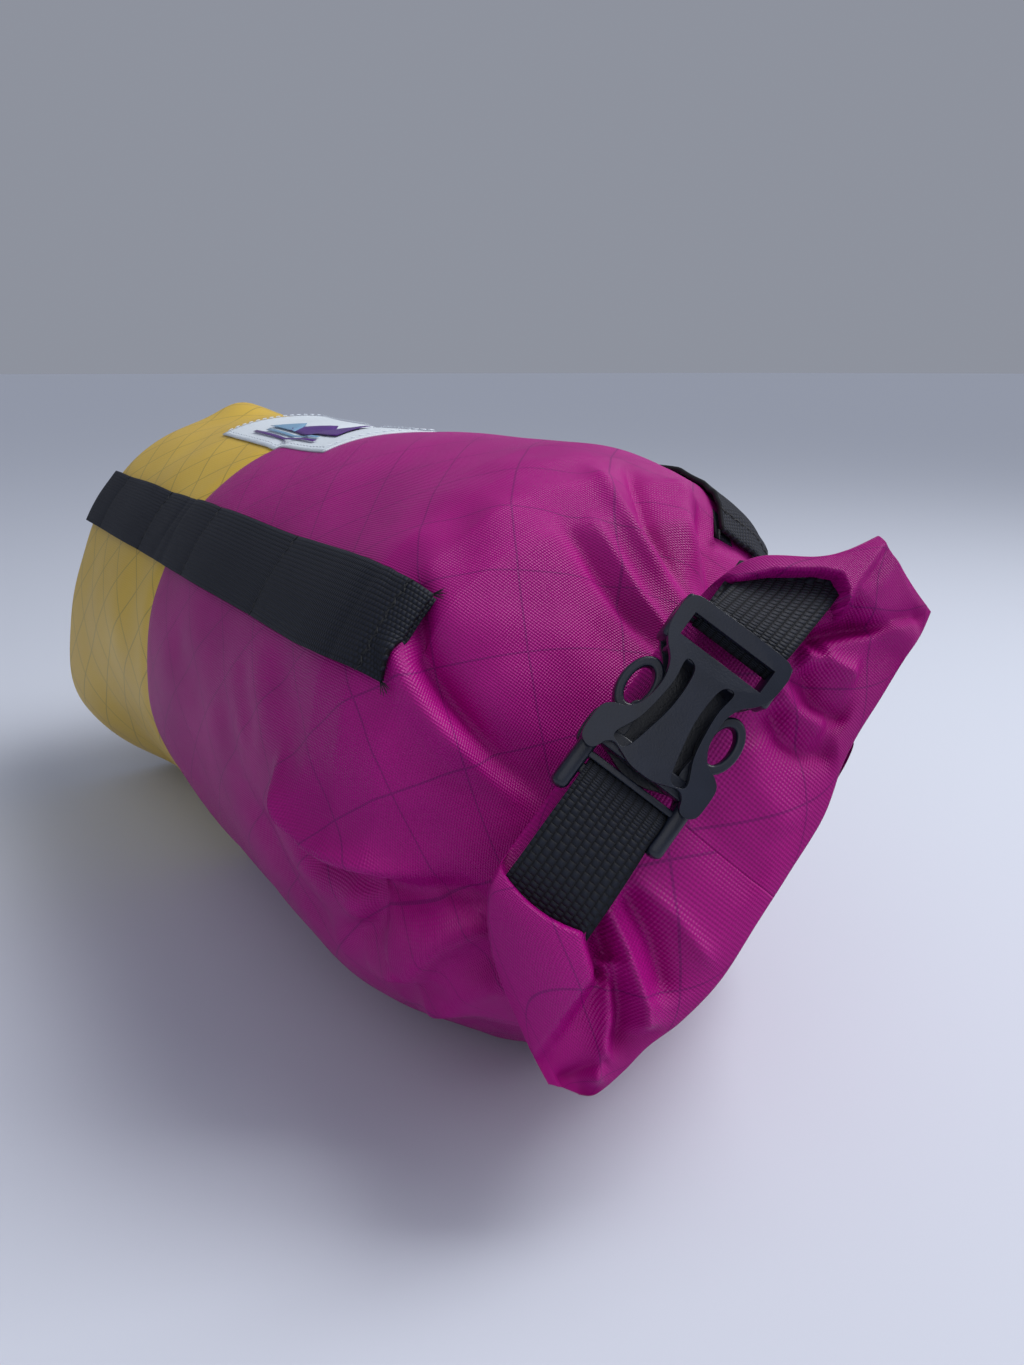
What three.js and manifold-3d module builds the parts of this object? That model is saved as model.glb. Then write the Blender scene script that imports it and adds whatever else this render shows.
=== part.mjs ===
// Roll-top stuff sack, lying on its side, packed full and buckled shut. Millimetres, +Z up, +X towards the mouth.
// The sack is drawn from its base at x = 0 along its own axis, then set with the middle of its box on the origin.
import * as THREE from "three";
import { mergeVertices } from "three/addons/utils/BufferGeometryUtils.js";
import Module from "manifold-3d";

const wasm = await Module();
wasm.setup();

// Driving dimensions
const RADIUS = 85; // filled body
const AXIS_HEIGHT = 79; // the filled body sags onto a flat underside
const FABRIC = 1.2; // wall of a panel with its coating and seam allowance
const GAP = 0.3; // clearance between neighbouring pieces
const SEAM_X = 122; // seam between the base-end panel and the upper panel
const SHOULDER = [
  // x, near crest, far crest and half width of the section, from the last round section to the closed mouth
  [258, 85, -85, 85],
  [272, 84.6, -83, 83],
  [284, 82.5, -77, 79],
  [294, 76, -69, 74],
  [303, 56, -60, 69],
  [309, 38, -52, 65],
  [320, 22, -41, 61],
  [330, 8, -27, 57],
  [338, -3, -14, 54],
];
const BODY_SIDES = 48;

const STRIP_WIDTH = 25; // daisy chain webbing
const STRIP_THICK = 1.6;
const STRIP_LOFT = 1.6; // rise of the webbing between two tacks
const STRIP_END_X = 290;
const TACK_PITCH = 64.7;
const TACK_COUNT = 5;
const TACK_LENGTH = 1.6;
const TACK_THICK = 0.5;
const STRIP_LEFT_ANGLE = 98.3; // degrees round the body from the flattened mouth's direction
const STRIP_RIGHT_ANGLE = 8;

const LABEL_X = [71, 167];
const LABEL_ANGLE = [35, 68];
const LABEL_THICK = 0.7;

const TAPE_WIDTH = 20; // sealing tape inside each seam
const TAPE_THICK = 0.6;
const SIDE_SEAM_ANGLE = -75;

const CLOSURE_CENTRE = [335.2, 5.7, 40.8]; // x, along the mouth, across the mouth
const CLOSURE_TILT = 35.7; // degrees that the rolled mouth leans over the near shoulder
const ROLL_BACK = -22; // back of the roll, from the buckle's middle plane
const ROLL_PITCH = 3; // distance between the roll's layers
const ROLL_WALL = 2.4;
const ROLL_LOW = -42; // outer edge of the roll
const ROLL_HIGH = 12; // inner edge of the roll
const ROLL_LEFT = -45.6;
const ROLL_RIGHT = 35.6;
const STIFFENER = { width: 19, thick: 1 };

const WEB_WIDTH = 20; // buckle webbing
const WEB_THICK = 1.3;
const WEB_SPLAY = 2.4; // centre of each webbing layer from the buckle's middle plane, at the bar
const WEB_SINK = -4.6; // middle plane of the webbing where it enters the roll's end
const WEB_LEFT_END = -54;
const WEB_RIGHT_END = 50;

const BUCKLE_HALF = 15; // half width over the mouth's shoulders
const BUCKLE_MOUTH = -14;
const BUCKLE_END = 26;
const BUCKLE_HALF_THICK = 4.4;
const CHANNEL_HALF_THICK = 2.7;
const CHANNEL_HALF = 13.7;
const MALE_HALF_THICK = 2.2;
const MALE_BAR = -18;
const FEMALE_BAR = 23.6;
const BAR_WIDTH = 2.2;
const BAR_HALF_THICK = 1;
const PRONG_ROOT = [-7.6, 8];

const CLOTH = { roughness: 0.75, metalness: 0 };
const paint = (color, finish = CLOTH) => new THREE.MeshStandardMaterial({ color, ...finish });
const yellowLaminate = paint(0xd9cf7a);
const magentaRipstop = paint(0x8c1384);
const blackWebbing = paint(0x17191f);
const whiteLabel = paint(0xd8dfe6);
const blackAcetal = paint(0x1b1e26, { roughness: 0.4, metalness: 0 });
const greyTape = paint(0xb9bcc0);
const naturalSheet = paint(0xd5d2c8, { roughness: 0.5, metalness: 0 });

const DEG = Math.PI / 180;
const HALF_ROOT = Math.SQRT1_2;

// A point from x, the distance along the flattened mouth and the distance across it.
const across = (x, along, over) =>
  new THREE.Vector3(x, (along - over) * HALF_ROOT, (along + over) * HALF_ROOT);

// Near crest, far crest and half width of the body's section at x.
function section(x) {
  if (x <= SHOULDER[0][0]) return SHOULDER[0].slice(1);
  const after = SHOULDER.findIndex((row) => row[0] >= x);
  const [a, b] = [SHOULDER[after - 1], SHOULDER[after]];
  const t = (x - a[0]) / (b[0] - a[0]);
  return [1, 2, 3].map((i) => a[i] + (b[i] - a[i]) * t);
}

// A point of the body's surface, moved out by an offset.
function surface(x, angle, offset = 0) {
  const [near, far, half] = section(x);
  const middle = (near + far) / 2;
  const depth = (near - far) / 2;
  const along = (half + offset) * Math.cos(angle * DEG);
  const point = across(x, along, middle + (depth + offset) * Math.sin(angle * DEG));
  point.z = Math.max(point.z, -AXIS_HEIGHT - offset);
  return point;
}

// A closed mesh over rings of points, each anticlockwise seen from the end of the row.
// A looped row joins its last ring to its first; otherwise each end is closed across its ring, so that it stays inside
// a section that is bent round the body.
function skin(rings, looped = false) {
  const sides = rings[0].length;
  const points = rings.flat();
  const faces = [];
  const bands = looped ? rings.length : rings.length - 1;
  for (let i = 0; i < bands; i++)
    for (let j = 0; j < sides; j++) {
      const [a, b] = [i * sides + j, i * sides + ((j + 1) % sides)];
      const next = ((i + 1) % rings.length) * sides;
      const [c, d] = [next + ((j + 1) % sides), next + j];
      faces.push(a, b, d, b, c, d);
    }
  if (!looped) {
    const last = (rings.length - 1) * sides;
    for (let j = 0; j < sides / 2 - 1; j++) {
      const [c, d] = [sides - 2 - j, sides - 1 - j];
      faces.push(j, c, j + 1, j, d, c);
      faces.push(last + j, last + j + 1, last + c, last + j, last + c, last + d);
    }
  }
  return new THREE.BufferGeometry().setFromPoints(points).setIndex(faces);
}

const steps = (from, to, count) =>
  Array.from({ length: count + 1 }, (_, i) => from + ((to - from) * i) / count);

const bodyRing = (x, offset) =>
  steps(0, 360, BODY_SIDES).slice(0, -1).map((angle) => surface(x, angle, offset));

// A tube of fabric between the given stations, open at both ends.
function shell(stations, outer, inner) {
  const rings = stations.map((x) => bodyRing(x, outer));
  return skin(rings.concat(stations.toReversed().map((x) => bodyRing(x, inner))), true);
}

// A patch that lies on the body: its lower and upper offsets are given at each x.
function patch(stations, angles, heights) {
  return skin(
    stations.map((x) => {
      const [low, high] = heights(x);
      const top = angles.map((angle) => surface(x, angle, high));
      return top.concat(angles.toReversed().map((angle) => surface(x, angle, low)));
    }),
  );
}

function solidOf(geometry) {
  const bare = geometry.clone();
  bare.deleteAttribute("normal");
  bare.deleteAttribute("uv");
  const merged = mergeVertices(bare, 1e-4);
  const triVerts = new Uint32Array(merged.index.array);
  const vertProperties = merged.attributes.position.array;
  return new wasm.Manifold(new wasm.Mesh({ numProp: 3, vertProperties, triVerts }));
}

function geometryOf(solid) {
  const mesh = solid.getMesh();
  return new THREE.BufferGeometry()
    .setAttribute("position", new THREE.BufferAttribute(mesh.vertProperties, 3))
    .setIndex(new THREE.BufferAttribute(mesh.triVerts, 1));
}

const join = (...geometries) =>
  geometryOf(geometries.map(solidOf).reduce((all, next) => all.add(next)));
const cut = (geometry, ...tools) =>
  geometryOf(tools.map(solidOf).reduce((left, tool) => left.subtract(tool), solidOf(geometry)));

function mesh(name, geometry, material) {
  const made = new THREE.Mesh(geometry, material);
  made.name = name;
  return made;
}

// A straight prism of an outline between two heights of the third axis.
function plate(points, low, high, curveSegments = 6) {
  const shape =
    points instanceof THREE.Shape ? points : new THREE.Shape(points.map(([x, y]) => new THREE.Vector2(x, y)));
  const depth = high - low;
  return new THREE.ExtrudeGeometry(shape, { depth, bevelEnabled: false, curveSegments }).translate(0, 0, low);
}

function block([x0, x1], [y0, y1], [z0, z1]) {
  const made = new THREE.BoxGeometry(x1 - x0, y1 - y0, z1 - z0);
  return made.translate((x0 + x1) / 2, (y0 + y1) / 2, (z0 + z1) / 2);
}

// The outline of a ribbon of even thickness along a path of [x, y] points.
function ribbon(path, thickness) {
  const side = (sign) =>
    path.map(([x, y], i) => {
      const [ax, ay] = path[Math.max(i - 1, 0)];
      const [bx, by] = path[Math.min(i + 1, path.length - 1)];
      const length = Math.hypot(bx - ax, by - ay);
      const reach = (sign * thickness) / 2 / length;
      return [x - (by - ay) * reach, y + (bx - ax) * reach];
    });
  return side(-1).concat(side(1).reverse());
}

// Points on an arc from one angle to another, in degrees.
const arc = (x, y, radius, from, to, count) =>
  steps(from, to, count).map((a) => [x + radius * Math.cos(a * DEG), y + radius * Math.sin(a * DEG)]);

const sack = new THREE.Group();

// --- Fabric tube and base ---------------------------------------------------------------------------------------
const BASE_THICK = 1.8;
const SHELL_START = BASE_THICK + GAP;
const mouthX = SHOULDER.at(-1)[0];

sack.add(mesh("base_panel", skin([bodyRing(0, 0), bodyRing(BASE_THICK, 0)]), yellowLaminate));
sack.add(mesh("lower_panel", shell([SHELL_START, SEAM_X - GAP], 0, -FABRIC), yellowLaminate));
sack.add(mesh("upper_panel", shell([SEAM_X, ...SHOULDER.map((row) => row[0])], 0, -FABRIC), magentaRipstop));

// Sealing tapes lie inside the panels, so they are clear of the wall and of each other.
const tapeOuter = -FABRIC - GAP;
const tapeInner = tapeOuter - TAPE_THICK;
const baseTape = [SHELL_START, SHELL_START + TAPE_WIDTH / 2];
const seamTape = [SEAM_X - TAPE_WIDTH / 2, SEAM_X + TAPE_WIDTH / 2];
sack.add(mesh("base_seam_tape", shell(baseTape, tapeOuter, tapeInner), greyTape));
sack.add(mesh("panel_seam_tape", shell(seamTape, tapeOuter, tapeInner), greyTape));

const angleOf = (width) => width / RADIUS / DEG;
const sideTapeAngles = steps(
  SIDE_SEAM_ANGLE - angleOf(TAPE_WIDTH) / 2,
  SIDE_SEAM_ANGLE + angleOf(TAPE_WIDTH) / 2,
  3,
);
const sideTapeHeights = () => [tapeInner, tapeOuter];
sack.add(
  mesh(
    "side_seam_tape_lower",
    patch([baseTape[1] + GAP, seamTape[0] - GAP], sideTapeAngles, sideTapeHeights),
    greyTape,
  ),
  mesh(
    "side_seam_tape_upper",
    patch([seamTape[1] + GAP, 258, 272, 284, 294], sideTapeAngles, sideTapeHeights),
    greyTape,
  ),
);

// --- Daisy chains ------------------------------------------------------------------------------------------------
const tackX = Array.from({ length: TACK_COUNT }, (_, i) => STRIP_END_X - 5 - i * TACK_PITCH);

// Stations along the webbing: each tack and the points that share out the pitch between two of them.
const LOFT_STEPS = 6;
const loftX = steps(0, TACK_COUNT - 1, (TACK_COUNT - 1) * LOFT_STEPS)
  .map((turn) => tackX[0] - turn * TACK_PITCH);

// Height of the webbing above the fabric: flat at each tack, lofted between two of them.
function loft(x) {
  const turn = (tackX[0] - x) / TACK_PITCH;
  return turn < 0 ? 0 : STRIP_LOFT * Math.abs(Math.sin(turn * Math.PI)) ** 0.5;
}

function addStrip(side, angle) {
  const half = angleOf(STRIP_WIDTH) / 2;
  const angles = steps(angle - half, angle + half, 3);
  const stations = [BASE_THICK, ...loftX, ...SHOULDER.map((row) => row[0]), STRIP_END_X]
    .filter((x) => x <= STRIP_END_X)
    .toSorted((a, b) => a - b);
  const heights = (x) => [GAP + loft(x), GAP + loft(x) + STRIP_THICK];
  sack.add(mesh("daisy_chain_" + side, patch(stations, angles, heights), blackWebbing));
  tackX.forEach((x, i) => {
    const ends = [x - TACK_LENGTH / 2, x + TACK_LENGTH / 2];
    const low = GAP + STRIP_THICK + GAP + 0.15;
    const over = patch(ends, steps(angle - half * 0.92, angle + half * 0.92, 3), () => [low, low + TACK_THICK]);
    sack.add(mesh("daisy_tack_" + side + "_" + (i + 1), over, blackWebbing));
  });
}
addStrip("left", STRIP_LEFT_ANGLE);
addStrip("right", STRIP_RIGHT_ANGLE);

sack.add(mesh("label", patch(LABEL_X, steps(...LABEL_ANGLE, 5), () => [GAP, GAP + LABEL_THICK]), whiteLabel));

// --- Rolled mouth and buckle, in a frame of their own -------------------------------------------------------------
// Local x runs along the mouth, y up the sloping roll towards the near shoulder, z out of the buckle's face.
const closure = new THREE.Group();
const tilt = CLOSURE_TILT * DEG;
const nearward = across(0, 0, 1);
const closureX = across(0, 1, 0);
const closureY = nearward.clone().multiplyScalar(Math.cos(tilt)).add(new THREE.Vector3(-Math.sin(tilt), 0, 0));
const closureZ = nearward.clone().multiplyScalar(Math.sin(tilt)).add(new THREE.Vector3(Math.cos(tilt), 0, 0));
closure.matrix.makeBasis(closureX, closureY, closureZ).setPosition(across(...CLOSURE_CENTRE));
closure.matrix.decompose(closure.position, closure.quaternion, closure.scale);
sack.add(closure);

// The mouth rolled down on itself: a flat spiral of four layers, seen here as [up the slope, out of the face].
const layer = (i) => ROLL_BACK + ROLL_WALL / 2 + i * ROLL_PITCH;
const turnRadius = (layers) => (layers * ROLL_PITCH) / 2;
const spiral = [
  [ROLL_HIGH - 6, layer(0)],
  ...arc(ROLL_LOW + turnRadius(3) + ROLL_WALL / 2, layer(1.5), turnRadius(3), 270, 90, 8),
  ...arc(ROLL_HIGH - turnRadius(2) - ROLL_WALL / 2, layer(2), turnRadius(2), 90, -90, 6),
  ...arc(ROLL_LOW + 10, layer(1.5), turnRadius(1), 270, 90, 5),
  [ROLL_LOW + 16, layer(2)],
];
// Turns an outline drawn as [y, z] of the closure into a prism that runs along its x.
const alongMouth = (geometry) => geometry.rotateZ(Math.PI / 2).rotateY(Math.PI / 2);
closure.add(
  mesh("roll_centre", alongMouth(plate(ribbon(spiral, ROLL_WALL), ROLL_LEFT, ROLL_RIGHT)), magentaRipstop),
);
const stiffenerY = [ROLL_LOW + 17, ROLL_LOW + 17 + STIFFENER.width];
const stiffenerZ = [layer(2) - STIFFENER.thick / 2, layer(2) + STIFFENER.thick / 2];
closure.add(
  mesh("mouth_stiffener", block([ROLL_LEFT + 4, ROLL_RIGHT - 4], stiffenerY, stiffenerZ), naturalSheet),
);

// The roll's two ends, pleated over the buckle webbing. Each is cut open where the webbing goes in.
const EAR_FRONT = -0.3;
const LEFT_LIP = -45;
const RIGHT_LIP = 36;
const leftEar = [
  [LEFT_LIP - 1, 14], [-57, 12], [-67, -8], [-74, -22], [-71, -34], [-58, -38], [LEFT_LIP - 1, -41],
];
const rightEar = [
  [RIGHT_LIP, -39], [46, -36], [60.6, -34], [65, -14], [59, 0], [53, 11], [44, 14], [RIGHT_LIP, 14],
];
const slotZ = [WEB_SINK - WEB_THICK - 1, WEB_SINK + WEB_THICK + 1];
const slotY = [-WEB_WIDTH / 2 - GAP, WEB_WIDTH / 2 + GAP];
function ear(name, outline, slotX) {
  return mesh(name, cut(plate(outline, ROLL_BACK, EAR_FRONT), block(slotX, slotY, slotZ)), magentaRipstop);
}
closure.add(ear("roll_end_left", leftEar, [WEB_LEFT_END - GAP, 0]));
closure.add(ear("roll_end_right", rightEar, [0, WEB_RIGHT_END + GAP]));

// A strap is one length of webbing taken round the buckle's bar and back, both tails sewn into the roll's end.
function strap(name, bar, lip, end) {
  const way = Math.sign(end);
  const half = WEB_THICK / 2 + GAP / 2;
  const clear = bar + way * WEB_SPLAY * 1.5;
  const turn = arc(0, 0, WEB_SPLAY, 90, 270, 8).map(([x, y]) => [bar + way * x, y]);
  const tails = [[end, WEB_SINK], [lip, WEB_SINK]];
  const path = [
    ...tails.map(([x, z]) => [x, z + half]),
    [clear, WEB_SPLAY],
    ...turn,
    [clear, -WEB_SPLAY],
    ...tails.toReversed().map(([x, z]) => [x, z - half]),
  ];
  // The outline is drawn as [x, z] and stood up on the webbing's width.
  const prism = plate(ribbon(path, WEB_THICK), -WEB_WIDTH / 2, WEB_WIDTH / 2).rotateX(Math.PI / 2);
  return mesh(name, prism, blackWebbing);
}
closure.add(strap("strap_left", MALE_BAR, LEFT_LIP, WEB_LEFT_END));
closure.add(strap("strap_right", FEMALE_BAR, RIGHT_LIP, WEB_RIGHT_END));

// Female half: two waisted plates joined behind the mouth's shoulders and at the webbing end.
const femaleSide = [
  [BUCKLE_MOUTH, 9], [BUCKLE_MOUTH + 1, 14], [BUCKLE_MOUTH + 3, BUCKLE_HALF], [-6.5, BUCKLE_HALF],
  [-4, 12], [-2, 7], [2, 5.6], [7, 7], [10, 11], [14, 13.5], [BUCKLE_END - 2, 13.5], [BUCKLE_END, 11.5],
];
const femaleOutline = femaleSide.map(([x, y]) => [x, -y]).concat(femaleSide.toReversed());
closure.add(
  mesh(
    "buckle_female",
    cut(
      plate(femaleOutline, -BUCKLE_HALF_THICK, BUCKLE_HALF_THICK),
      block([BUCKLE_MOUTH - 1, 12], [-CHANNEL_HALF, CHANNEL_HALF], [-CHANNEL_HALF_THICK, CHANNEL_HALF_THICK]),
      block([16.5, FEMALE_BAR - BAR_WIDTH / 2], [-10.6, 10.6], [-9, 9]),
      block([FEMALE_BAR - BAR_WIDTH / 2 - 0.1, 30], [-10.6, 10.6], [BAR_HALF_THICK, 9]),
      block([FEMALE_BAR - BAR_WIDTH / 2 - 0.1, 30], [-10.6, 10.6], [-9, -BAR_HALF_THICK]),
      block([FEMALE_BAR + BAR_WIDTH / 2 - 0.4, 30], [-10.6, 10.6], [-9, 9]),
    ),
    blackAcetal,
  ),
);

// Male half: a block in the mouth, two rails back past the webbing bar, and a guide tongue.
const RAIL = [11, 13.4];
const MALE_END = -24.4;
const maleZ = [-MALE_HALF_THICK, MALE_HALF_THICK];
closure.add(
  mesh(
    "buckle_male",
    join(
      block([-13.2, -8], [-RAIL[1], RAIL[1]], maleZ),
      ...[-1, 1].map((s) => block([MALE_END, -12.9], [s * RAIL[0], s * RAIL[1]].toSorted((a, b) => a - b), maleZ)),
      block([MALE_BAR - BAR_WIDTH / 2, MALE_BAR + BAR_WIDTH / 2], [-RAIL[0] - 0.5, RAIL[0] + 0.5], [-BAR_HALF_THICK, BAR_HALF_THICK]),
      block([-8.3, 8], [-2, 2], [-1.5, 1.5]),
    ),
    blackAcetal,
  ),
);

// Each prong: a springy arm from its root and an open oval ring that the thumb and finger press.
function prong(name, side) {
  const ringOutline = new THREE.Shape();
  ringOutline.absellipse(3, 10.6, 6.4, 3.9, 0, 2 * Math.PI);
  const hole = new THREE.Path();
  hole.absellipse(3, 10.7, 4.2, 2, 0, 2 * Math.PI);
  ringOutline.holes.push(hole);
  const [rootX, rootY] = PRONG_ROOT;
  const arm = [[rootX, rootY - 1.5], [0, 7.4], [2, 8.4], [0.6, 9.6], [-3.4, 9.6], [rootX, rootY + 1.5]];
  const made = join(plate(ringOutline, ...maleZ), plate(arm, -1.9, 1.9));
  return mesh(name, side < 0 ? made.rotateX(Math.PI) : made, blackAcetal);
}
closure.add(prong("prong_left", 1), prong("prong_right", -1));

// The origin is under the middle of the sack, on the surface that it lies on.
const box = new THREE.Box3().setFromObject(sack, true);
const middle = box.getCenter(new THREE.Vector3());
sack.position.set(-middle.x, -middle.y, -box.min.z);

export default new THREE.Group().add(sack);
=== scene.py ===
"""A roll-top stuff sack, packed full and buckled shut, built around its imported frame.

Lengths are millimetres in the sack's own frame until a mesh is finished: x runs from the base towards the mouth,
y and z are measured from the sack's axis. The mouth and buckle have a frame of their own: along the flattened mouth,
up the slope of the roll, and out of the buckle's face.
"""

import logging
import math
from dataclasses import dataclass, field
from enum import Enum
from typing import Callable, Iterable, Sequence

import bmesh
import bpy
from mathutils import Matrix, Vector, noise

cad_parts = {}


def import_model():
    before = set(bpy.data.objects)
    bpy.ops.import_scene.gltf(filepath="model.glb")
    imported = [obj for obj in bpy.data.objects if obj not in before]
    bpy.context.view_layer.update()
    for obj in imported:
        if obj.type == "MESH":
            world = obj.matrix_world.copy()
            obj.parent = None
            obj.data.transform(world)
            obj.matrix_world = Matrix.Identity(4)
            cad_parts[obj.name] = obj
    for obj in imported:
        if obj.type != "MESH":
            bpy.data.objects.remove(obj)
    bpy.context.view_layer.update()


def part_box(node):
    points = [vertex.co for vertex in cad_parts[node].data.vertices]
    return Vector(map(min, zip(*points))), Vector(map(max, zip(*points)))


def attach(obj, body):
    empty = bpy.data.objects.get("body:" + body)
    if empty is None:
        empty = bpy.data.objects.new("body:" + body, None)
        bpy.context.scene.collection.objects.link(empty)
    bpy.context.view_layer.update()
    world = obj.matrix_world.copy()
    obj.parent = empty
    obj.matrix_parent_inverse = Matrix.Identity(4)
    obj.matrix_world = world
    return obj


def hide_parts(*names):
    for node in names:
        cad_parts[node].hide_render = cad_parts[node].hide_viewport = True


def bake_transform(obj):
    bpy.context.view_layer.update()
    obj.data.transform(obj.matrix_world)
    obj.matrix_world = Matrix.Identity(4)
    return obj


log = logging.getLogger("stuff_sack")

MM = 0.001
HALF_ROOT = math.sqrt(0.5)
Point2 = tuple[float, float]


# --- Small maths ---------------------------------------------------------------------------------------------------


def smooth(low: float, high: float, value: float) -> float:
    """Eases from 0 at low to 1 at high."""
    t = min(max((value - low) / (high - low), 0.0), 1.0)
    return t * t * (3 - 2 * t)


def mix(a: float, b: float, t: float) -> float:
    """The value a share t of the way from a to b."""
    return a + (b - a) * t


def along(table: Sequence[Sequence[float]], key: float) -> list[float]:
    """Reads a table of rows (key, values...) at a key between its rows.

    Args:
        table: Rows in rising order of their first number.
        key: Where to read the table; outside it the end rows hold.

    Returns:
        The values at that key, eased linearly between rows.
    """
    if key <= table[0][0]:
        return list(table[0][1:])
    for low, high in zip(table, table[1:]):
        if key <= high[0]:
            t = (key - low[0]) / (high[0] - low[0])
            return [mix(a, b, t) for a, b in zip(low[1:], high[1:])]
    return list(table[-1][1:])


def rounded_path(points: Sequence[Point2], share: float) -> Point2:
    """The point at a share of a Catmull-Rom curve through some points.

    Args:
        points: The points the curve goes through.
        share: 0 at the first point and 1 at the last.

    Returns:
        The point on the curve.
    """
    spot = min(max(share, 0.0), 1.0) * (len(points) - 1)
    i = min(int(spot), len(points) - 2)
    t = spot - i
    p = [points[min(max(k, 0), len(points) - 1)] for k in (i - 1, i, i + 1, i + 2)]
    return tuple(
        0.5 * (2 * b + (c - a) * t + (2 * a - 5 * b + 4 * c - d) * t * t + (3 * b - a - 3 * c + d) * t ** 3)
        for a, b, c, d in zip(*p)
    )


def gap_to_path(path: Sequence[Point2], spot: Point2) -> tuple[float, float, float]:
    """How far a spot is from a path of straight stretches.

    Args:
        path: The path's points.
        spot: The point to measure from.

    Returns:
        The distance, the share of the path at the nearest point, and the side (1 on the left of its direction).
    """
    best = (1e9, 0.0, 1.0)
    for i, (a, b) in enumerate(zip(path, path[1:])):
        dx, dy = b[0] - a[0], b[1] - a[1]
        px, py = spot[0] - a[0], spot[1] - a[1]
        t = min(max((px * dx + py * dy) / (dx * dx + dy * dy), 0.0), 1.0)
        away = math.hypot(px - dx * t, py - dy * t)
        if away < best[0]:
            best = (away, (i + t) / (len(path) - 1), 1.0 if dx * py - dy * px > 0 else -1.0)
    return best


# --- Folds ---------------------------------------------------------------------------------------------------------


class FoldKind(Enum):
    """How the cloth goes over a fold's line."""

    ROUND = "round"
    SHARP = "sharp"
    STEP = "step"


@dataclass(frozen=True)
class Fold:
    """One fold drawn on a surface: its line, its height (negative for a valley), and its width, in mm."""

    path: tuple[Point2, ...]
    height: float
    width: float
    kind: FoldKind = FoldKind.ROUND
    fade: float = 0.35

    def rise(self, spot: Point2) -> float:
        """The fold's height at a spot, in mm."""
        away, share, side = gap_to_path(self.path, spot)
        if away > 4 * self.width:
            return 0.0
        ends = smooth(0, self.fade, share) * smooth(0, self.fade, 1 - share) if self.fade else 1.0
        reach = away / self.width
        if self.kind is FoldKind.ROUND:
            return self.height * ends * math.exp(-reach * reach)
        if self.kind is FoldKind.SHARP:
            return self.height * ends * math.exp(-1.3 * (math.hypot(reach, 0.4) - 0.4))
        lift = 1 - math.exp(-3 * reach) if side > 0 else 0.0
        return self.height * ends * lift * math.exp(-0.6 * reach)


# --- Frames --------------------------------------------------------------------------------------------------------


class SackFrame:
    """Places the sack's own frame in the row's frame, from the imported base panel."""

    def __init__(self) -> None:
        """Reads the base panel's box."""
        low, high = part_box("base_panel")
        self.radius = (high.y - low.y) / 2 / MM
        self.axis_height = high.z / MM - self.radius
        self.base_x = low.x / MM
        self.to_row = Matrix.Scale(MM, 4) @ Matrix.Translation((self.base_x, 0, self.axis_height))


@dataclass(frozen=True)
class ClosureFrame:
    """The rolled mouth's frame: its centre and its lean, as distances from the base, along and across the mouth."""

    centre: tuple[float, float, float] = (335.2, 5.7, 40.8)
    tilt: float = math.radians(35.7)

    def matrix(self) -> Matrix:
        """The matrix from the mouth's frame to the sack's."""
        over = Vector((0, -HALF_ROOT, HALF_ROOT))
        mouth = Vector((0, HALF_ROOT, HALF_ROOT))
        forward = Vector((1, 0, 0))
        up = over * math.cos(self.tilt) - forward * math.sin(self.tilt)
        out = over * math.sin(self.tilt) + forward * math.cos(self.tilt)
        x, a, o = self.centre
        made = Matrix((mouth, up, out)).transposed().to_4x4()
        return Matrix.Translation(forward * x + mouth * a + over * o) @ made


# --- Materials -----------------------------------------------------------------------------------------------------


def linear(code: str) -> tuple[float, float, float, float]:
    """A hex sRGB colour as the linear colour that a shader takes."""
    parts = [int(code[i:i + 2], 16) / 255 for i in (1, 3, 5)]
    return (*(c / 12.92 if c <= 0.04045 else ((c + 0.055) / 1.055) ** 2.4 for c in parts), 1.0)


def add(tree: bpy.types.NodeTree, kind: str, inputs: dict | None = None, **settings: object) -> bpy.types.Node:
    """Adds a node with its settings, and fills or links its inputs.

    Args:
        tree: The material's node tree.
        kind: The node's type, without its ShaderNode prefix.
        inputs: Input name or number to a value or to another node's output.
        settings: Properties of the node.

    Returns:
        The new node.
    """
    node = tree.nodes.new("ShaderNode" + kind)
    for name, value in settings.items():
        setattr(node, name, value)
    for key, value in (inputs or {}).items():
        if isinstance(value, bpy.types.NodeSocket):
            tree.links.new(value, node.inputs[key])
        else:
            node.inputs[key].default_value = value
    return node


def maths(tree: bpy.types.NodeTree, operation: str, *values: object) -> bpy.types.NodeSocket:
    """The output of a maths node on values or outputs."""
    return add(tree, "Math", dict(enumerate(values)), operation=operation).outputs[0]


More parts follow.
